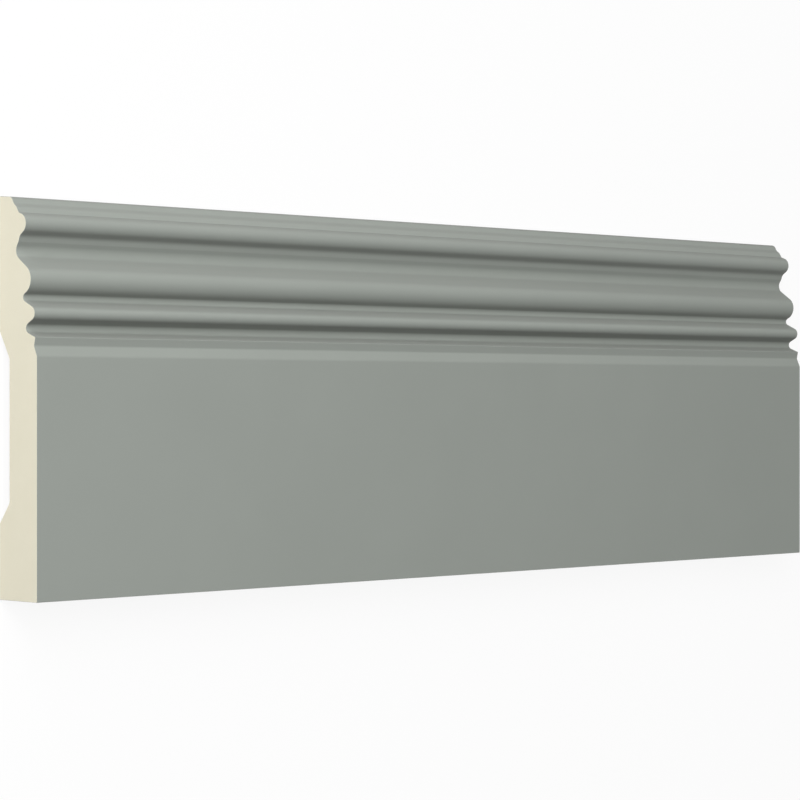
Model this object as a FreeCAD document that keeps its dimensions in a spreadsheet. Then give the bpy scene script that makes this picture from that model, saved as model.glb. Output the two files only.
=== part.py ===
# One length of moulded skirting board, in millimetres. It lies on its back: +X runs along the
# length, +Y from the floor edge to the top edge, and +Z out of the wall. The origin is the
# middle of the back. The board is one casting with square sawn ends.

import FreeCAD, Part
import math
import os
import Sketcher

LINE_START = 1
LINE_END = 2
ORIGIN = -1
ORIGIN_POINT = 1
ROUND = -1
HOLLOW = 1

# Lengths are in millimetres and slopes in degrees. A slope is the angle of a straight flank to
# the plain face: below zero the flank falls back towards the wall as it rises.
SIZES = {
    "board_length": 617.0,
    "board_height": 200.0,
    "board_thickness": 30.0,
    "floor_arris_radius": 0.5,
    "shoulder_radius": 3.3, "shoulder_slope": -24.0, "shoulder_flank": 4.3,
    "apron_radius": 1.8, "apron_slope": 12.0, "apron_flank": 3.5,
    "lip_radius": 0.3, "lip_slope": -69.0, "lip_flank": 5.8,
    "lower_groove_radius": 2.5, "lower_groove_slope": 62.0, "lower_groove_flank": 4.0,
    "lower_bead_radius": 3.6, "lower_bead_slope": -65.0, "lower_bead_flank": 6.4,
    "upper_groove_radius": 2.1, "upper_groove_slope": 60.0, "upper_groove_flank": 1.5,
    "nose_radius": 7.3, "nose_slope": -55.0, "nose_flank": 7.9,
    "cove_radius": 4.8, "cove_slope": 32.0, "cove_flank": 1.9,
    "fillet_foot_radius": 0.3, "fillet_foot_slope": 19.0, "fillet_foot_flank": 1.6,
    "fillet_head_radius": 4.3, "fillet_head_slope": 55.0, "fillet_head_flank": 2.0,
    "crown_bead_radius": 5.0, "crown_bead_slope": -70.0, "crown_bead_flank": 2.4,
    "crest_quirk_radius": 0.3, "crest_quirk_slope": -31.0, "crest_quirk_flank": 2.5,
    "crest_nose_radius": 3.3, "crest_nose_slope": -52.0, "crest_nose_flank": 1.6,
    "crest_hollow_radius": 3.4, "crest_hollow_slope": -29.0, "crest_hollow_flank": 1.7,
    "top_round_radius": 3.4,
    "top_edge_fall": 2.0,
    "foot_land": 37.8,
    "foot_ramp_slope": 37.0,
    "head_land": 67.0,
    "head_ramp_slope": 30.0,
    "recess_depth": 7.85,
    "recess_corner_radius": 3.0,
}

# The members of the moulded band, from the plain face up to the top edge. Each is one arc, which
# bulges out or hollows in, and the straight flank that leaves it. The top round has no flank of
# its own: it ends on the top edge, which falls a little to the front.
MEMBERS = [
    ("shoulder", ROUND),
    ("apron", HOLLOW),
    ("lip", ROUND),
    ("lower_groove", HOLLOW),
    ("lower_bead", ROUND),
    ("upper_groove", HOLLOW),
    ("nose", ROUND),
    ("cove", HOLLOW),
    ("fillet_foot", ROUND),
    ("fillet_head", HOLLOW),
    ("crown_bead", ROUND),
    ("crest_quirk", HOLLOW),
    ("crest_nose", ROUND),
    ("crest_hollow", HOLLOW),
]

doc = FreeCAD.newDocument("SkirtingBoard")
sheet = doc.addObject("Spreadsheet::Sheet", "Sizes")
for row, (size_name, number) in enumerate(SIZES.items(), start=1):
    sheet.set("A%d" % row, size_name)
    sheet.set("B%d" % row, str(number))
    sheet.setAlias("B%d" % row, size_name)
doc.recompute()


def size(name):
    """The value of one cell of the sheet."""
    return float(sheet.get(name))


def heading_vector(degrees):
    """A step of one millimetre in the section, turned from the height direction."""
    return FreeCAD.Vector(math.cos(math.radians(degrees)), math.sin(math.radians(degrees)), 0)


class Outline:
    """A pen that draws a section into a sketch, stroke by stroke, each tangent to the last.

    The section's x is height and its y is distance from the wall. The solid is on the pen's
    right, so a round member turns the pen right and a hollow one turns it left.
    """

    def __init__(self, sketch, at, heading):
        self.sketch = sketch
        self.at = at
        self.heading = heading
        self.last_end = None

    def add(self, shape, begin, end):
        index = self.sketch.addGeometry(shape, False)
        if self.last_end:
            self.sketch.addConstraint(Sketcher.Constraint("Tangent", *self.last_end, index, begin))
        self.last_end = (index, end)
        return index

    def straight(self, length):
        """A straight stroke. Returns its geometry index."""
        target = self.at + heading_vector(self.heading) * length
        index = self.add(Part.LineSegment(self.at, target), LINE_START, LINE_END)
        self.at = target
        return index

    def bend(self, kind, radius_name, new_heading):
        """A round or hollow arc that turns the pen to a new heading."""
        radius = size(radius_name)
        centre = self.at + heading_vector(self.heading + 90 * kind) * radius
        circle = Part.Circle(centre, FreeCAD.Vector(0, 0, 1), radius)
        first = math.radians(self.heading - 90 * kind)
        last = math.radians(new_heading - 90 * kind)
        if kind == HOLLOW:
            index = self.add(Part.ArcOfCircle(circle, first, last), LINE_START, LINE_END)
        else:
            index = self.add(Part.ArcOfCircle(circle, last, first), LINE_END, LINE_START)
        tie(self.sketch, radius_name, radius, "Radius", index)
        self.at += across_bend(kind, radius, self.heading, new_heading)
        self.heading = new_heading


def tie(sketch, name, start_value, kind, *where):
    """A dimension of a sketch that follows the cell of its own name."""
    index = sketch.addConstraint(Sketcher.Constraint(kind, *where, start_value))
    sketch.renameConstraint(index, name)
    sketch.setExpression("Constraints." + name, "Sizes." + name)


def sketch_across(body, name):
    """An empty sketch on the plane that cuts the board's length in half."""
    sketch = body.newObject("Sketcher::SketchObject", name)
    plane = next(f for f in body.Origin.OriginFeatures if f.Role == "YZ_Plane")
    sketch.AttachmentSupport = [(plane, "")]
    sketch.MapMode = "FlatFace"
    return sketch


def draw_band(pen):
    """The moulded band, tied to the sheet. It starts where the plain face ends."""
    for name, kind in MEMBERS:
        pen.bend(kind, name + "_radius", size(name + "_slope"))
        flank = pen.straight(size(name + "_flank"))
        tie(pen.sketch, name + "_flank", size(name + "_flank"), "Distance", flank)
        tie(pen.sketch, name + "_slope", math.radians(size(name + "_slope")), "Angle", flank)
    fall = size("top_edge_fall")
    pen.bend(ROUND, "top_round_radius", fall - 90)
    top_edge = pen.straight(pen.at.y / math.cos(math.radians(fall)))
    fall_angle = pen.sketch.addConstraint(
        Sketcher.Constraint("Angle", top_edge, math.radians(fall - 90)))
    pen.sketch.setExpression("Constraints[%d]" % fall_angle, "Sizes.top_edge_fall - 90")
    return top_edge


def across_bend(kind, radius, heading, new_heading):
    """The step from the start of an arc to its end."""
    return (heading_vector(heading + 90 * kind) - heading_vector(new_heading + 90 * kind)) * radius


def band_height():
    """How much of the board's height the moulded band takes, up to the top of the back."""
    at = FreeCAD.Vector(0, size("board_thickness"), 0)
    heading = 0
    for name, kind in MEMBERS:
        slope = size(name + "_slope")
        at += across_bend(kind, size(name + "_radius"), heading, slope)
        at += heading_vector(slope) * size(name + "_flank")
        heading = slope
    fall = size("top_edge_fall")
    at += across_bend(ROUND, size("top_round_radius"), heading, fall - 90)
    return at.x + at.y * math.tan(math.radians(fall))


def draw_section(body):
    """The board's outline: floor edge, plain face, moulded band, top edge and flat back."""
    sketch = sketch_across(body, "board_section")
    height = size("board_height")
    thickness = size("board_thickness")
    arris = size("floor_arris_radius")
    foot = FreeCAD.Vector(-height / 2, 0, 0)
    pen = Outline(sketch, foot, 90)
    floor_edge = pen.straight(thickness - arris)
    pen.bend(ROUND, "floor_arris_radius", 0)
    plain_face = pen.straight(height - arris - band_height())
    top_edge = draw_band(pen)
    back = sketch.addGeometry(Part.LineSegment(pen.at, foot), False)
    sketch.addConstraint([
        Sketcher.Constraint("Coincident", top_edge, LINE_END, back, LINE_START),
        Sketcher.Constraint("Coincident", back, LINE_END, floor_edge, LINE_START),
        Sketcher.Constraint("Symmetric", back, LINE_START, back, LINE_END, ORIGIN, ORIGIN_POINT),
        Sketcher.Constraint("Horizontal", back),
        Sketcher.Constraint("Vertical", floor_edge),
        Sketcher.Constraint("Horizontal", plain_face),
    ])
    tie(sketch, "board_height", height, "Distance", back)
    tie(sketch, "board_thickness", thickness, "DistanceY",
        ORIGIN, ORIGIN_POINT, plain_face, LINE_START)
    return sketch


def draw_recess(body):
    """The shallow hollow in the back: a flat floor between two ramps, with eased corners."""
    sketch = sketch_across(body, "recess_section")
    depth = size("recess_depth")
    corner = size("recess_corner_radius")
    foot_slope = size("foot_ramp_slope")
    head_slope = size("head_ramp_slope")
    foot_lip = FreeCAD.Vector(size("foot_land") - size("board_height") / 2, 0, 0)
    head_lip = FreeCAD.Vector(size("board_height") / 2 - size("head_land"), 0, 0)
    foot_easing = corner * math.tan(math.radians(foot_slope / 2))
    head_easing = corner * math.tan(math.radians(head_slope / 2))
    foot_run = depth / math.sin(math.radians(foot_slope))
    head_run = depth / math.sin(math.radians(head_slope))
    ramps = depth / math.tan(math.radians(foot_slope)) + depth / math.tan(math.radians(head_slope))
    floor = head_lip.x - foot_lip.x - ramps - foot_easing - head_easing
    pen = Outline(sketch, foot_lip, foot_slope)
    foot_ramp = pen.straight(foot_run - foot_easing)
    pen.bend(ROUND, "recess_corner_radius", 0)
    foot_corner = foot_ramp + 1
    recess_floor = pen.straight(floor)
    head_centre = pen.at - FreeCAD.Vector(0, corner, 0)
    head_arc = Part.ArcOfCircle(
        Part.Circle(head_centre, FreeCAD.Vector(0, 0, 1), corner),
        math.radians(90 - head_slope), math.radians(90))
    head_corner = pen.add(head_arc, LINE_END, LINE_START)
    pen.at = head_centre + heading_vector(90 - head_slope) * corner
    pen.heading = -head_slope
    head_ramp = pen.straight(head_run - head_easing)
    mouth = sketch.addGeometry(Part.LineSegment(pen.at, foot_lip), False)
    sketch.addConstraint([
        Sketcher.Constraint("Equal", foot_corner, head_corner),
        Sketcher.Constraint("Coincident", head_ramp, LINE_END, mouth, LINE_START),
        Sketcher.Constraint("Coincident", mouth, LINE_END, foot_ramp, LINE_START),
        Sketcher.Constraint("PointOnObject", mouth, LINE_START, ORIGIN),
        Sketcher.Constraint("Horizontal", mouth),
        Sketcher.Constraint("Horizontal", recess_floor),
    ])
    tie(sketch, "foot_ramp_slope", math.radians(foot_slope), "Angle", foot_ramp)
    head_angle = sketch.addConstraint(
        Sketcher.Constraint("Angle", head_ramp, math.radians(-head_slope)))
    sketch.setExpression("Constraints[%d]" % head_angle, "-Sizes.head_ramp_slope")
    foot_place = sketch.addConstraint(
        Sketcher.Constraint("DistanceX", ORIGIN, ORIGIN_POINT, mouth, LINE_END, foot_lip.x))
    sketch.setExpression("Constraints[%d]" % foot_place,
                         "Sizes.foot_land - Sizes.board_height / 2")
    head_place = sketch.addConstraint(
        Sketcher.Constraint("DistanceX", ORIGIN, ORIGIN_POINT, mouth, LINE_START, head_lip.x))
    sketch.setExpression("Constraints[%d]" % head_place,
                         "Sizes.board_height / 2 - Sizes.head_land")
    tie(sketch, "recess_depth", depth, "DistanceY",
        ORIGIN, ORIGIN_POINT, recess_floor, LINE_START)
    return sketch


def stop_if_failed():
    """Ends the build with a plain message if the solver left an object of the document failed."""
    for thing in doc.Objects:
        if "Invalid" in thing.State or "Error" in thing.State:
            raise RuntimeError("%s could not be made: %s" % (thing.Name, thing.State))


def make_board():
    """The board: its section drawn out along the length, then the back hollowed."""
    body = doc.addObject("PartDesign::Body", "skirting_board")
    body.Label = "skirting_board"
    section = draw_section(body)
    doc.recompute()
    casting = body.newObject("PartDesign::Pad", "casting")
    casting.Profile = section
    casting.SideType = "Symmetric"
    casting.setExpression("Length", "Sizes.board_length")
    doc.recompute()
    solid_volume = casting.Shape.Volume
    recess = draw_recess(body)
    doc.recompute()
    hollow = body.newObject("PartDesign::Pocket", "back_recess")
    hollow.Profile = recess
    hollow.SideType = "Symmetric"
    hollow.setExpression("Length", "Sizes.board_length")
    doc.recompute()
    if not hollow.Shape.Volume < solid_volume:
        raise RuntimeError("the back recess cut nothing")
    return body


board = make_board()
stop_if_failed()
if board.Shape.isNull() or not board.Shape.isValid():
    raise RuntimeError("the board has no valid shape")
os.makedirs("parts", exist_ok=True)
board.Shape.exportStep("parts/%s.step" % board.Label)
print("section %.1f mm2, volume %.0f mm3" % (
    board.Shape.Volume / size("board_length"), board.Shape.Volume))
for drawing in ("board_section", "recess_section"):
    print(drawing, "free sizes:", doc.getObject(drawing).solve())
print("box", board.Shape.BoundBox)
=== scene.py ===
# %% [markdown]
# A length of moulded skirting board. Skirting covers the joint between a wall and the floor. This
# board is one casting of dense polyurethane foam. A grey-green paint film covers its face and its
# two long edges, and the back and the two sawn ends are bare. It lies on its back, so +X runs
# along its length, +Y from the floor edge to the top edge, and +Z out of the wall.

# %% Load the frame
import math

import bmesh
import bpy
from mathutils import Matrix, Vector


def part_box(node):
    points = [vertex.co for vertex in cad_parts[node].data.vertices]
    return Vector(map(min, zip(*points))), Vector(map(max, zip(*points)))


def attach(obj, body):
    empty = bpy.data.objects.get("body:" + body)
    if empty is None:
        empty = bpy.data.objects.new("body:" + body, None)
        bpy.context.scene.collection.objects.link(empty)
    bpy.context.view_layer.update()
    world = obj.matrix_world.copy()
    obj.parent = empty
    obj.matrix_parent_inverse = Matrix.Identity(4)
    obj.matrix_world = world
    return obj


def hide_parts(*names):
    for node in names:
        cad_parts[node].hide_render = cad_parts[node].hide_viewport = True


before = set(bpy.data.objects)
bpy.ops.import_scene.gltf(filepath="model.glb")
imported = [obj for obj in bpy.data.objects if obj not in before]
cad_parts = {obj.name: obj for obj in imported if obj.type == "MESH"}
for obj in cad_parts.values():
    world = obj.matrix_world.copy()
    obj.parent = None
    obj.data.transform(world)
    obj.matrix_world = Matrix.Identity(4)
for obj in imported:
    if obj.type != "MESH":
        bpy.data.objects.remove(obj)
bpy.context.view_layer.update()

MM = 0.001
low, high = (Vector(corner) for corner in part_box("skirting_board"))
LENGTH, HEIGHT, THICKNESS = high - low
print("board %.0f x %.0f x %.0f mm" % (LENGTH / MM, HEIGHT / MM, THICKNESS / MM))

# %% [markdown]
# A moulding is known by its section, and a section is a chain of members: round beads and noses,
# hollow coves and grooves, each running into the next along a short straight flank. The members
# below go from the top of the plain face up to the top edge. ROUND turns the outline right and
# HOLLOW turns it left. Each has a radius in millimetres, then the slope of the flank that leaves
# it, in degrees from the plain face, and that flank's length in millimetres. Written like this,
# the whole outline can be drawn with a pen that only knows two strokes.

# %% The members of the moulded band
ROUND, HOLLOW = -1, 1
BAND = [
    ("shoulder", ROUND, 3.3, -24, 4.3),
    ("apron", HOLLOW, 1.8, 12, 3.5),
    ("lip", ROUND, 0.3, -69, 5.8),
    ("lower_groove", HOLLOW, 2.5, 62, 4.0),
    ("lower_bead", ROUND, 3.6, -65, 6.4),
    ("upper_groove", HOLLOW, 2.1, 60, 1.5),
    ("nose", ROUND, 7.3, -55, 7.9),
    ("cove", HOLLOW, 4.8, 32, 1.9),
    ("fillet_foot", ROUND, 0.3, 19, 1.6),
    ("fillet_head", HOLLOW, 4.3, 55, 2.0),
    ("crown_bead", ROUND, 5.0, -70, 2.4),
    ("crest_quirk", HOLLOW, 0.3, -31, 2.5),
    ("crest_nose", ROUND, 3.3, -52, 1.6),
    ("crest_hollow", HOLLOW, 3.4, -29, 1.35),
]
TOP_ROUND, TOP_FALL = 3.4, 4
FLOOR_ARRIS = 0.5
print(len(BAND) + 1, "members from the plain face to the top edge")

# %% [markdown]
# The back of the casting is relieved, so that only two flat lands touch the wall. The relief is a
# shallow hollow with a flat floor and two ramps. Its inside corners are eased, because a mould
# can't leave a sharp corner in foam.

# %% The recess in the back
FOOT_LAND, HEAD_LAND = 37.8, 67.0
FOOT_RAMP, HEAD_RAMP = 37, 30
RECESS_DEPTH, RECESS_EASING = 7.85, 3.0


def easing_reach(slope):
    """How far the easing of a recess corner reaches along the ramp and along the floor."""
    return RECESS_EASING * math.tan(math.radians(slope / 2))


print("recess %.0f mm across its mouth" % (HEIGHT / MM - FOOT_LAND - HEAD_LAND))

# %% [markdown]
# The pen draws in the plane of the near end. A straight stroke extrudes the last vertex. A bend
# spins it about the centre of its arc, in chords of two and a half degrees. Each vertex remembers
# how far the pen has come, its "run", which later unrolls the board into a flat map. A long flat
# gets a short step at each end: smooth shading bends the normals over the last step of a face,
# and a short one keeps that bend small.

# %% The pen
CHORD_TURN = 2.5
GUARD = 0.4
board_mesh = bmesh.new()
run_layer = board_mesh.verts.layers.float.new("run")


def in_section(degrees):
    """One millimetre in the section, turned from the height direction towards the front."""
    angle = math.radians(degrees)
    return Vector((0, math.cos(angle), math.sin(angle))) * MM


class Pen:
    """Draws an outline from its last vertex, the tip. Lengths are in millimetres."""

    def __init__(self, y, z, heading):
        at = Vector((low.x, y, z))
        self.tip = bmesh.ops.create_vert(board_mesh, co=at)["vert"][0]
        self.heading = heading
        self.run = 0.0

    def straight(self, length):
        """A straight stroke."""
        self.tip = bmesh.ops.extrude_vert_indiv(board_mesh, verts=[self.tip])["verts"][0]
        bmesh.ops.translate(board_mesh, verts=[self.tip], vec=in_section(self.heading) * length)
        self.run += length * MM
        self.tip[run_layer] = self.run

    def flat(self, length):
        """A long straight stroke with a short guard step at each end."""
        for part in (GUARD, length - 2 * GUARD, GUARD):
            self.straight(part)

    def bend(self, kind, radius, new_heading):
        """An arc that turns the pen to a new heading."""
        turn = new_heading - self.heading
        steps = max(2, math.ceil(abs(turn) / CHORD_TURN))
        centre = self.tip.co + in_section(self.heading + 90 * kind) * radius
        for step in range(steps):
            made = bmesh.ops.spin(board_mesh, geom=[self.tip], cent=centre, axis=(1, 0, 0),
                                  dvec=(0, 0, 0), angle=math.radians(turn / steps), steps=1,
                                  use_duplicate=False)
            self.tip = made["geom_last"][0]
            self.run += abs(math.radians(turn / steps)) * radius * MM
            self.tip[run_layer] = self.run
        self.heading = new_heading


def across_bend(kind, radius, heading, new_heading):
    """The step from the start of an arc to its end."""
    return (in_section(heading + 90 * kind) - in_section(new_heading + 90 * kind)) * radius


def band_height():
    """How high the band stands, from the end of the plain face to the top of the back."""
    at = Vector((0, 0, THICKNESS))
    heading = 0
    for member, kind, radius, slope, flank in BAND:
        at += across_bend(kind, radius, heading, slope) + in_section(slope) * flank
        heading = slope
    at += across_bend(ROUND, TOP_ROUND, heading, TOP_FALL - 90)
    return at.y + at.z * math.tan(math.radians(TOP_FALL))


print("moulded band %.1f mm high" % (band_height() / MM))

# %% [markdown]
# The front of the section. The pen starts at the foot of the back and goes up the floor edge,
# round the arris, along the plain face and over every member of the band. It ends on the back
# again, at the foot of the top edge, which falls four degrees to the front when the board stands
# against a wall.

# %% Draw the front of the section
pen = Pen(low.y, low.z, 90)
first = pen.tip
pen.straight(THICKNESS / MM - FLOOR_ARRIS)
pen.bend(ROUND, FLOOR_ARRIS, 0)
pen.flat((HEIGHT - band_height()) / MM - FLOOR_ARRIS)
for member, kind, radius, slope, flank in BAND:
    pen.bend(kind, radius, slope)
    pen.straight(flank)
    print("  %-12s ends %5.1f mm up, %4.1f mm from the wall"
          % (member, (pen.tip.co.y - low.y) / MM, (pen.tip.co.z - low.z) / MM))
pen.bend(ROUND, TOP_ROUND, TOP_FALL - 90)
pen.straight((pen.tip.co.z - low.z) / MM / math.cos(math.radians(TOP_FALL)))

# %% [markdown]
# The back of the section. The pen comes down the wall side: the upper land, a ramp into the
# recess, its floor, a ramp out again, and the lower land. The last stroke should arrive exactly
# where the first began, so the gap between them is a good test of every number above. The two
# vertices are then merged, which closes the outline.

# %% Draw the back of the section
head_ramp_rise, foot_ramp_rise = (RECESS_DEPTH / math.tan(math.radians(slope))
                                  for slope in (HEAD_RAMP, FOOT_RAMP))
recess_floor = HEIGHT / MM - HEAD_LAND - FOOT_LAND - head_ramp_rise - foot_ramp_rise
pen.heading = 180
pen.flat(HEAD_LAND)
pen.heading = 180 - HEAD_RAMP
pen.straight(RECESS_DEPTH / math.sin(math.radians(HEAD_RAMP)) - easing_reach(HEAD_RAMP))
pen.bend(HOLLOW, RECESS_EASING, 180)
pen.flat(recess_floor - easing_reach(HEAD_RAMP) - easing_reach(FOOT_RAMP))
pen.bend(HOLLOW, RECESS_EASING, 180 + FOOT_RAMP)
pen.straight(RECESS_DEPTH / math.sin(math.radians(FOOT_RAMP)) - easing_reach(FOOT_RAMP))
pen.heading = 180
pen.flat(FOOT_LAND)
perimeter = pen.run
gap = (pen.tip.co - first.co).length
bmesh.ops.pointmerge(board_mesh, verts=[first, pen.tip], merge_co=first.co)
print("outline of %d points, %.0f mm round, closed to %.6f mm"
      % (len(board_mesh.verts), perimeter / MM, gap / MM))

# %% [markdown]
# The outline becomes a board when it is drawn out along the length. It goes in even steps, so that
# no face is a 600 mm splinter, which helps the flat map and anyone who bends or cuts the mesh
# later. Each open end is then closed with one face, as a saw leaves it.

# %% Draw the board out along its length
LENGTH_STEPS = 24
rim = list(board_mesh.edges)
for step in range(LENGTH_STEPS):
    made = bmesh.ops.extrude_edge_only(board_mesh, edges=rim)["geom"]
    rim = [part for part in made if isinstance(part, bmesh.types.BMEdge) and part.is_boundary]
    moved = [part for part in made if isinstance(part, bmesh.types.BMVert)]
    bmesh.ops.translate(board_mesh, verts=moved, vec=(LENGTH / LENGTH_STEPS, 0, 0))


def outline_at(x):
    """The edges of the section's outline at one end."""
    return [edge for edge in board_mesh.edges
            if edge.is_boundary and all(abs(v.co.x - x) < MM for v in edge.verts)]


ends = []
for x in (low.x, high.x):
    ends += bmesh.ops.contextual_create(board_mesh, geom=outline_at(x))["faces"]
bmesh.ops.recalc_face_normals(board_mesh, faces=board_mesh.faces)
print(len(board_mesh.faces), "faces,", len(ends), "of them sawn ends")

# %% [markdown]
# A saw cut is never knife sharp: sanding takes off about a tenth of a millimetre. A bevel round both
# ends does that here. Its thin rim is the cut edge of the paint film and of the casting's skin, which
# draws a fine line round each end. Edges that turn by more than 20 degrees stay sharp in the
# shading, and the rest of the surface is smooth.

# %% Ease the sawn ends
EASED = 0.12 * MM
SHARP_ANGLE = math.radians(20)
for face in board_mesh.faces:
    face.smooth = face not in ends
for edge in board_mesh.edges:
    edge.smooth = edge.calc_face_angle(0) < SHARP_ANGLE
end_edges = list({edge for face in ends for edge in face.edges})
bmesh.ops.bevel(board_mesh, geom=end_edges, offset=EASED, offset_type="OFFSET", segments=1,
                profile=0.5, affect="EDGES", material=-1, clamp_overlap=True)
insets = sorted(v.co.x - low.x for v in board_mesh.verts if v.co.x < low.x + 2 * EASED)
print("eased %d end edges by %.2f mm" % (len(end_edges), insets[-1] / MM))

# %% [markdown]
# Paint stays on the face, the top edge and the floor edge. The casting shows bare elsewhere. Each
# face can tell which finish it has by the way it looks: an end looks straight along the length,
# and every face of the back looks towards the wall. A normal's X says how far it leans to the
# length: under ACROSS it looks across the board, and over ALONG it looks along it. The eased rim
# is in between, and takes the finish of the long face that it borders.

# %% Sort the faces by finish
PAINTED, BACK, SAWN = range(3)
ACROSS, ALONG = 0.1, 0.95
TO_WALL = -0.5


def is_rim(face):
    """Whether a face belongs to the eased rim of an end."""
    return ACROSS < abs(face.normal.x) < ALONG


def finish_of(face):
    """Which finish a face has, from its normal."""
    if abs(face.normal.x) > ALONG:
        return SAWN
    return BACK if face.normal.z < TO_WALL else PAINTED


for face in board_mesh.faces:
    face.material_index = finish_of(face)
finishes = [face.material_index for face in board_mesh.faces]
print("painted, back and sawn faces:", [finishes.count(kind) for kind in range(3)])
print("rim faces:", sum(is_rim(face) for face in board_mesh.faces))

# %% [markdown]
# A flat map of the surface, for anyone who wants to bake or paint on it. An automatic unwrap would
# cut the moulded band into hundreds of slivers. This board unrolls by itself: its length gives
# one direction and the pen's run the other. The two ends lie above the unrolled surface at twice
# the scale, and the two thin rims beside it. A face that closes the loop has vertices near run
# zero, which belong past the full perimeter instead.

# %% Unroll the surface
MAP_SIDE = 640 * MM
MARGIN = 0.01
END_SCALE, END_FOOT, END_STEP = 2, 0.77, 0.115
RIM_FOOT, RIM_STEP, RIM_WIDTH = 0.979, 0.011, 0.005
flat_map = board_mesh.loops.layers.uv.new("OFBake")


def unrolled(vertex, face):
    """How far round the section a vertex is, in map units, as this face sees it."""
    run = vertex[run_layer]
    if run < perimeter / 4 and max(other[run_layer] for other in face.verts) > perimeter * 3 / 4:
        run += perimeter
    return MARGIN + run / MAP_SIDE


def place_on_map(vertex, face):
    """The place of a vertex on the flat map."""
    at = vertex.co - low
    far_end = at.x > LENGTH / 2
    if face.material_index == SAWN:
        return (MARGIN + at.y * END_SCALE / MAP_SIDE,
                END_FOOT + END_STEP * far_end + at.z * END_SCALE / MAP_SIDE)
    if is_rim(face):
        inset = min(at.x, LENGTH - at.x) / EASED
        return RIM_FOOT + RIM_STEP * far_end + RIM_WIDTH * inset, unrolled(vertex, face)
    return MARGIN + at.x / MAP_SIDE, unrolled(vertex, face)


for face in board_mesh.faces:
    for loop in face.loops:
        loop[flat_map].uv = place_on_map(loop.vert, face)
across, along = zip(*(loop[flat_map].uv for face in board_mesh.faces for loop in face.loops))
print("map from %.3f, %.3f to %.3f, %.3f" % (min(across), min(along), max(across), max(along)))

# %% [markdown]
# The mesh becomes an object. It rides on the part's only body and stands in for the plain solid of
# the same shape, which is hidden.

# %% Hand the board to the frame
board_data = bpy.data.meshes.new("board")
board_mesh.to_mesh(board_data)
board_mesh.free()
board = bpy.data.objects.new("board", board_data)
bpy.context.scene.collection.objects.link(board)
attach(board, "root")
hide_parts("skirting_board")
print("board has %d faces" % len(board_data.polygons))

# %% [markdown]
# Three helpers for every finish. Colours are written as hex codes, the way a paint chart gives
# them, and turned to the linear values that light is reckoned in. Node trees are built by one
# function, which adds a node with its settings and fills its sockets with numbers or links. The
# scale of a texture comes from the size of its features on the real board.

# %% Colours and nodes
COLOUR_A, COLOUR_B, COLOUR_OUT = 6, 7, 2        # the colour sockets of a Mix node, by place
NUMBER_A, NUMBER_B = 2, 3                       # its number sockets


def colour(hex_code):
    """A six-figure sRGB hex code as linear red, green, blue and alpha."""
    channels = [int(hex_code[i:i + 2], 16) / 255 for i in (1, 3, 5)]
    linear = [c / 12.92 if c <= 0.04045 else ((c + 0.055) / 1.055) ** 2.4 for c in channels]
    return (*linear, 1.0)


def add(tree, kind, sockets, **settings):
    """Adds a node to a tree, sets its properties, and fills its sockets with values or links."""
    node = tree.nodes.new("ShaderNode" + kind)
    for name, setting in settings.items():
        setattr(node, name, setting)
    for socket, content in sockets.items():
        if isinstance(content, bpy.types.NodeSocket):
            tree.links.new(content, node.inputs[socket])
        else:
            node.inputs[socket].default_value = content
    return node


def per_metre(millimetres):
    """How many features of this size there are in a metre, which is a texture's scale."""
    return 1 / (millimetres * MM)


def new_material(name):
    """A material with a bare Principled shader, its tree and the shader."""
    material = bpy.data.materials.new(name)
    material.use_nodes = True
    return material, material.node_tree, material.node_tree.nodes["Principled BSDF"]


print("mid grey #808080 is", [round(channel, 3) for channel in colour("#808080")[:3]])

# %% [markdown]
# The paint is a water-based acrylic, sprayed on in a grey-green and left matt. Sprayed paint has
# two small irregularities that keep it from looking like plastic. Its droplets level out into
# an orange peel of bumps about a millimetre and a half across and a hundredth of a millimetre
# high. Its thickness drifts slowly along the board, which moves the shade by less than one part
# in a hundred. The steep flanks of the mouldings also get painted shade: a darker colour, most of
# all on the flanks that face the floor, which stands in for shade the lamps don't give. The
# surface normal says how steep a flank is, so that painted shade needs no map of its own.

# %% Matt acrylic paint
DRIFT_SIZE, PEEL_SIZE, PEEL_HEIGHT = 45, 1.5, 0.015
FLANK_SHADE_STARTS, FLANK_SHADE_FULL = math.sin(math.radians(30)), math.sin(math.radians(70))
UPPER_FLANK_SHADE_SHARE = 0.75


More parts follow.
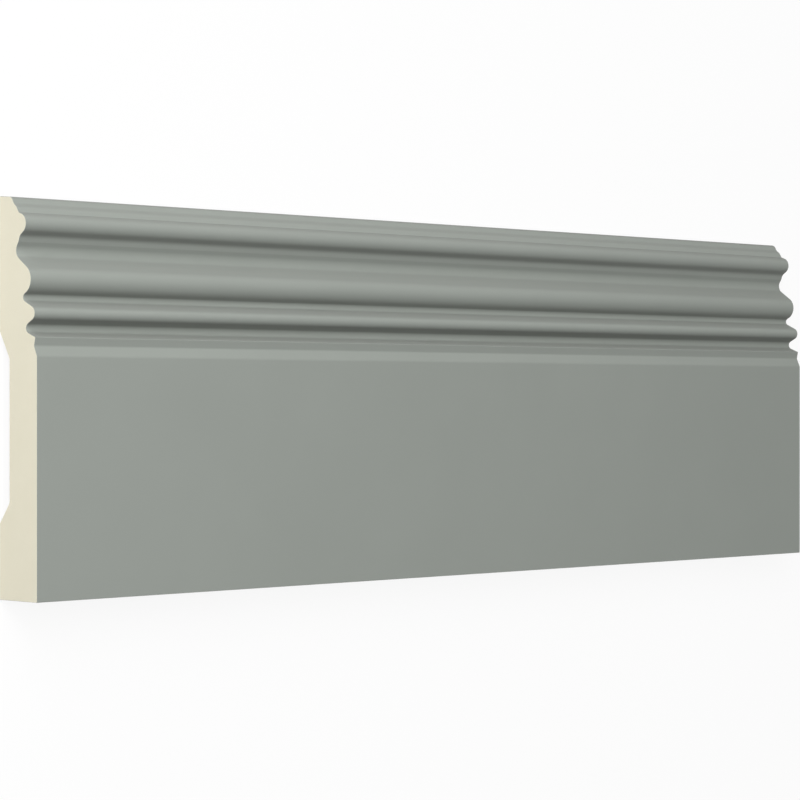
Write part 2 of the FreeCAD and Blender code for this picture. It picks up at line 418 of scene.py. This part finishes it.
def make_paint():
    """Sprayed acrylic on cast foam: dead matt, with only a breath of sheen at a low angle, and
    painted shade on its steep flanks.
    """
    material, tree, shader = new_material("matt_acrylic_paint")
    coordinates = add(tree, "TexCoord", {}).outputs
    place = coordinates["Object"]
    drift = add(tree, "TexNoise", {"Vector": place, "Scale": per_metre(DRIFT_SIZE), "Detail": 2.0})
    peel = add(tree, "TexNoise", {"Vector": place, "Scale": per_metre(PEEL_SIZE), "Detail": 1.0})
    # Painted shade: the steeper a flank, the more of the darker colour #8C8F8A is mixed into the
    # paint.
    rise = add(tree, "SeparateXYZ", {"Vector": coordinates["Normal"]}).outputs["Y"]
    shade_on_lower_flanks = add(tree, "MapRange", {"Value": rise, "From Min": -FLANK_SHADE_STARTS,
                                   "From Max": -FLANK_SHADE_FULL})
    shade_on_upper_flanks = add(tree, "MapRange", {"Value": rise, "From Min": FLANK_SHADE_STARTS,
                                   "From Max": FLANK_SHADE_FULL, "To Max": UPPER_FLANK_SHADE_SHARE})
    painted_flank_shade = add(tree, "Math", {0: shade_on_lower_flanks.outputs["Result"], 1: shade_on_upper_flanks.outputs["Result"]})
    drifted = add(tree, "Mix", {"Factor": drift.outputs["Fac"], COLOUR_A: colour("#969B95"),
                                COLOUR_B: colour("#9A9F99")}, data_type="RGBA")
    flank_shaded_colour = add(tree, "Mix", {"Factor": painted_flank_shade.outputs["Value"],
                             COLOUR_A: drifted.outputs[COLOUR_OUT],
                             COLOUR_B: colour("#8C8F8A")}, data_type="RGBA")
    tree.links.new(flank_shaded_colour.outputs[COLOUR_OUT], shader.inputs["Base Color"])
    sheen = add(tree, "MapRange", {"Value": peel.outputs["Fac"], "To Min": 0.78, "To Max": 0.88})
    tree.links.new(sheen.outputs["Result"], shader.inputs["Roughness"])
    relief = add(tree, "Bump", {"Height": peel.outputs["Fac"], "Distance": PEEL_HEIGHT * MM})
    tree.links.new(relief.outputs["Normal"], shader.inputs["Normal"])
    shader.inputs["Specular IOR Level"].default_value = 0.25
    return material


paint = make_paint()
print(paint.name, "with", len(paint.node_tree.nodes), "nodes")

# %% [markdown]
# The sawn end shows the foam itself: closed-cell polyurethane, cast at about a third of the weight
# of the solid plastic. Its cells are a tenth of a millimetre across, too fine for this picture,
# so they are drawn four times as coarse and very faint. The teeth of a chop saw leave shallow
# arcs across the cut. They are circles about the blade's centre, which is above the board.

# %% Sawn polyurethane foam
GRAIN_SIZE, GRAIN_DEPTH, CLOUD_SIZE = 0.4, 0.01, 12
SAW_RADIUS, SAW_PITCH, SAW_MARK_DEPTH = 150, 1.2, 0.004
WAVES_PER_UNIT = 20 / math.tau        # how often a Wave texture of scale 1 repeats in a metre


def make_sawn_foam():
    """Cut high-density foam: chalky and dead matt, with a fine even grain."""
    material, tree, shader = new_material("sawn_polyurethane_foam")
    place = add(tree, "TexCoord", {}).outputs["Object"]
    cells = add(tree, "TexNoise", {"Vector": place, "Scale": per_metre(GRAIN_SIZE), "Detail": 2.0})
    cloud = add(tree, "TexNoise", {"Vector": place, "Scale": per_metre(CLOUD_SIZE), "Detail": 3.0})
    grain = add(tree, "Math", {0: cells.outputs["Fac"], 1: cloud.outputs["Fac"]},
                operation="MULTIPLY")
    tint = add(tree, "Mix", {"Factor": grain.outputs["Value"], COLOUR_A: colour("#E3DEC9"),
                             COLOUR_B: colour("#EBE6D3")}, data_type="RGBA")
    tree.links.new(tint.outputs[COLOUR_OUT], shader.inputs["Base Color"])
    blade = add(tree, "Mapping", {"Vector": place, "Location": (0, 0, -SAW_RADIUS * MM)})
    arcs = add(tree, "TexWave", {"Vector": blade.outputs["Vector"], "Distortion": 1.5,
                                 "Scale": per_metre(SAW_PITCH) / WAVES_PER_UNIT},
               wave_type="RINGS", rings_direction="X")
    marks = add(tree, "Bump", {"Height": arcs.outputs["Fac"], "Distance": SAW_MARK_DEPTH * MM})
    relief = add(tree, "Bump", {"Height": cells.outputs["Fac"], "Distance": GRAIN_DEPTH * MM,
                                "Normal": marks.outputs["Normal"]})
    tree.links.new(relief.outputs["Normal"], shader.inputs["Normal"])
    shader.inputs["Roughness"].default_value = 0.85
    shader.inputs["Specular IOR Level"].default_value = 0.2
    return material


sawn_foam = make_sawn_foam()
print(sawn_foam.name, "with", len(sawn_foam.node_tree.nodes), "nodes")

# %% [markdown]
# Where the foam met the mould it has a skin: denser, a little darker and smoother than the inside.
# It shows bare in the recess of the back. Air that was trapped against the mould leaves pinholes
# in it, about a millimetre wide and a finger's breadth apart. The two lands that touch the wall
# were sanded level along the length, which takes the skin off: they are as pale as the sawn ends
# and carry fine lengthwise scratches. The scratches are noise that is stretched forty times along
# the board. The pinholes are the middles of the cells of a Voronoi texture, where the distance to
# the nearest point is small, and they are painted darker, as painted shade inside the holes. The
# cells fill space, and only one in five has its middle close enough to the surface to show there.
# A test of the height tells land from recess, and picks the colour, the relief and the gloss.

# %% Cast polyurethane skin
LAND_LEVEL = 0.1
FLOW_SIZE = 20
SCRATCH_WIDTH, SCRATCH_STRETCH, SCRATCH_DEPTH = 0.5, 40, 0.05
CELL_SIZE, PINHOLE_RADIUS, PINHOLE_DEPTH = 6, 0.6, 0.3


def make_cast_skin():
    """The back of the casting: cloudy, pitted skin in the recess and sanded foam on the lands."""
    material, tree, shader = new_material("cast_polyurethane_skin")
    place = add(tree, "TexCoord", {}).outputs["Object"]
    height = add(tree, "SeparateXYZ", {"Vector": place}).outputs["Z"]
    sanded = add(tree, "Math", {0: height, 1: LAND_LEVEL * MM}, operation="LESS_THAN")
    flow = add(tree, "TexNoise", {"Vector": place, "Scale": per_metre(FLOW_SIZE), "Detail": 3.0,
                                  "Distortion": 1.0})
    skin = add(tree, "Mix", {"Factor": flow.outputs["Fac"], COLOUR_A: colour("#D3CCB2"),
                             COLOUR_B: colour("#DDD7C0")}, data_type="RGBA")
    cells = add(tree, "TexVoronoi", {"Vector": place, "Scale": per_metre(CELL_SIZE)})
    reach = PINHOLE_RADIUS / CELL_SIZE
    hole = add(tree, "MapRange", {"Value": cells.outputs["Distance"], "From Min": reach / 2,
                                  "From Max": reach, "To Min": 1.0, "To Max": 0.0})
    # The pinholes are painted the darker colour #A39C84, as painted shade inside the holes.
    pitted_with_painted_shade = add(tree, "Mix", {"Factor": hole.outputs["Result"],
                               COLOUR_A: skin.outputs[COLOUR_OUT],
                               COLOUR_B: colour("#A39C84")}, data_type="RGBA")
    tint = add(tree, "Mix", {"Factor": sanded.outputs["Value"],
                             COLOUR_A: pitted_with_painted_shade.outputs[COLOUR_OUT],
                             COLOUR_B: colour("#E6E1CD")}, data_type="RGBA")
    tree.links.new(tint.outputs[COLOUR_OUT], shader.inputs["Base Color"])
    drawn = add(tree, "Mapping", {"Vector": place, "Scale": (1 / SCRATCH_STRETCH, 1, 1)})
    scratches = add(tree, "TexNoise", {"Vector": drawn.outputs["Vector"],
                                       "Scale": per_metre(SCRATCH_WIDTH), "Detail": 2.0})
    scored = add(tree, "Math", {0: scratches.outputs["Fac"], 1: SCRATCH_DEPTH},
                 operation="MULTIPLY")
    pit = add(tree, "Math", {0: hole.outputs["Result"], 1: -PINHOLE_DEPTH},
              operation="MULTIPLY")
    surface = add(tree, "Mix", {"Factor": sanded.outputs["Value"],
                                NUMBER_A: pit.outputs["Value"],
                                NUMBER_B: scored.outputs["Value"]}, data_type="FLOAT")
    relief = add(tree, "Bump", {"Height": surface.outputs["Result"], "Distance": MM})
    tree.links.new(relief.outputs["Normal"], shader.inputs["Normal"])
    gloss = add(tree, "MapRange", {"Value": sanded.outputs["Value"], "To Min": 0.5,
                                   "To Max": 0.8})
    tree.links.new(gloss.outputs["Result"], shader.inputs["Roughness"])
    return material


cast_skin = make_cast_skin()
for finish in (paint, cast_skin, sawn_foam):
    board_data.materials.append(finish)
print(cast_skin.name, "with", len(cast_skin.node_tree.nodes), "nodes")

# %% [markdown]
# A plain pale floor. To the lamps it is matt light grey, so it throws an ordinary amount of light
# back at the board. To the camera it is white, and most of its brightness is its own, so it stays
# a clean white that darkens only a little where the board shades it.

# %% Floor
FLOOR_REACH = 15
OWN_LIGHT = 0.9


def seen_directly(tree):
    """One where a ray comes from the camera, a reflection or a glass, and zero elsewhere."""
    rays = add(tree, "LightPath", {}).outputs
    seen = add(tree, "Math", {0: rays["Is Camera Ray"], 1: rays["Is Glossy Ray"]},
               operation="MAXIMUM")
    return add(tree, "Math", {0: seen.outputs["Value"], 1: rays["Is Transmission Ray"]},
               operation="MAXIMUM").outputs["Value"]


def make_floor_finish():
    """Matt studio floor: no sheen, an even pale tone."""
    material, tree, shader = new_material("pale_studio_floor")
    seen = seen_directly(tree)
    tone = add(tree, "Mix", {"Factor": seen, COLOUR_A: colour("#B0B0B0"),
                             COLOUR_B: colour("#FFFFFF")}, data_type="RGBA")
    tree.links.new(tone.outputs[COLOUR_OUT], shader.inputs["Base Color"])
    shader.inputs["Roughness"].default_value = 1.0
    shader.inputs["Specular IOR Level"].default_value = 0.0
    glow = add(tree, "Emission", {"Color": (1, 1, 1, 1), "Strength": 1.0})
    share = add(tree, "Math", {0: seen, 1: OWN_LIGHT}, operation="MULTIPLY")
    blend = add(tree, "MixShader", {0: share.outputs["Value"], 1: shader.outputs["BSDF"],
                                    2: glow.outputs["Emission"]})
    tree.links.new(blend.outputs["Shader"], tree.nodes["Material Output"].inputs["Surface"])
    return material


floor_mesh = bmesh.new()
bmesh.ops.create_grid(floor_mesh, x_segments=1, y_segments=1, size=FLOOR_REACH)
floor_data = bpy.data.meshes.new("floor")
floor_mesh.to_mesh(floor_data)
floor_mesh.free()
floor_data.materials.append(make_floor_finish())
floor = bpy.data.objects.new("floor", floor_data)
bpy.context.scene.collection.objects.link(floor)
print("floor %.0f m square" % (2 * FLOOR_REACH))

# %% [markdown]
# Mouldings are lit across their members, because the shade on each flank is what tells a bead from
# a hollow. Two large windows stand beyond the top edge and the near end, one high and one low, so
# the flanks that face the floor fall into shade. A small lamp grazes the mouldings from beyond
# the top edge, a weak one fills from the far end, and another lights the near end. That leaves the
# floor edge and the far end dark, so each has a strip light of its own, as long as itself. The
# strips lie on the floor and are thinner than the board, so their light can't climb over its face
# into the grooves, and light linking keeps their glare off the floor.

# %% Light
WORLD_FILL = 0.05
STRIP_MIDDLE, STRIP_HEIGHT = 0.014, 0.02
world = bpy.data.worlds.new("studio")
bpy.context.scene.world = world
world.use_nodes = True
sky = world.node_tree.nodes["Background"]
sky.inputs["Color"].default_value = (1, 1, 1, 1)
strength = add(world.node_tree, "MapRange", {"Value": seen_directly(world.node_tree),
                                             "To Min": WORLD_FILL, "To Max": 1.0})
world.node_tree.links.new(strength.outputs["Result"], sky.inputs["Strength"])


def softbox(name, at, width, height, power):
    """A rectangular lamp that faces the middle of the board."""
    lamp = bpy.data.lights.new(name, "AREA")
    lamp.shape = "RECTANGLE"
    lamp.size = width
    lamp.size_y = height
    lamp.energy = power
    holder = bpy.data.objects.new(name, lamp)
    holder.location = at
    holder.rotation_euler = (-Vector(at)).to_track_quat("-Z", "Y").to_euler()
    bpy.context.scene.collection.objects.link(holder)
    return holder


softbox("high_window", (-1.376, 0.672, 1.848), 1.4, 1.4, 31.7)
softbox("low_window", (-1.376, 1.506, 1.264), 1.4, 1.4, 24.1)
softbox("grazing_light", (-1.354, 1.935, 0.426), 0.6, 0.6, 8.5)
softbox("far_fill", (1.376, 0, 1.966), 1.4, 1.4, 8.5)
softbox("end_light", (-2.147, 0, 1.073), 1.0, 1.0, 8.1)
strips = [softbox("floor_edge_strip", (0, -1.6, STRIP_MIDDLE), LENGTH, STRIP_HEIGHT, 12),
          softbox("far_end_strip", (2.0, 0, STRIP_MIDDLE), HEIGHT, STRIP_HEIGHT, 14)]
board_only = bpy.data.collections.new("board_only")
board_only.objects.link(board)
for strip in strips:
    strip.light_linking.receiver_collection = board_only
print("five soft boxes and", len(strips), "strips")

# %% [markdown]
# The camera looks along the board from above its near end, tipped down by almost 45 degrees, and
# lies on its side so that the board's height runs up the picture. It is placed from the board's
# near lower corner, with distances in millimetres along its own three axes.

# %% Camera
SENSOR_WIDTH, FOCAL_LENGTH = 36, 123.93
TIPPED_DOWN = math.radians(44.91)
NOD = math.radians(0.04)
CORNER_RIGHT, CORNER_AHEAD, CORNER_UP = 177.1, 1343.7, 99.96
near_corner = Vector((low.x, low.y, high.z))
up = Vector((0, 1, 0))
ahead = Vector((math.cos(TIPPED_DOWN), 0, -math.sin(TIPPED_DOWN)))
right = ahead.cross(up)
view = ahead * math.cos(NOD) - up * math.sin(NOD)
axes = Matrix((right, right.cross(view), -view)).transposed()
camera_at = near_corner + (CORNER_RIGHT * right - CORNER_AHEAD * ahead + CORNER_UP * up) * MM
camera_data = bpy.data.cameras.new("camera")
camera_data.sensor_width = SENSOR_WIDTH
camera_data.lens = FOCAL_LENGTH
camera = bpy.data.objects.new("camera", camera_data)
camera.matrix_world = Matrix.Translation(camera_at) @ axes.to_4x4()
bpy.context.scene.collection.objects.link(camera)
bpy.context.scene.camera = camera
bpy.context.scene.view_settings.view_transform = "Standard"
print("camera at", [round(c, 3) for c in camera_at], "m")
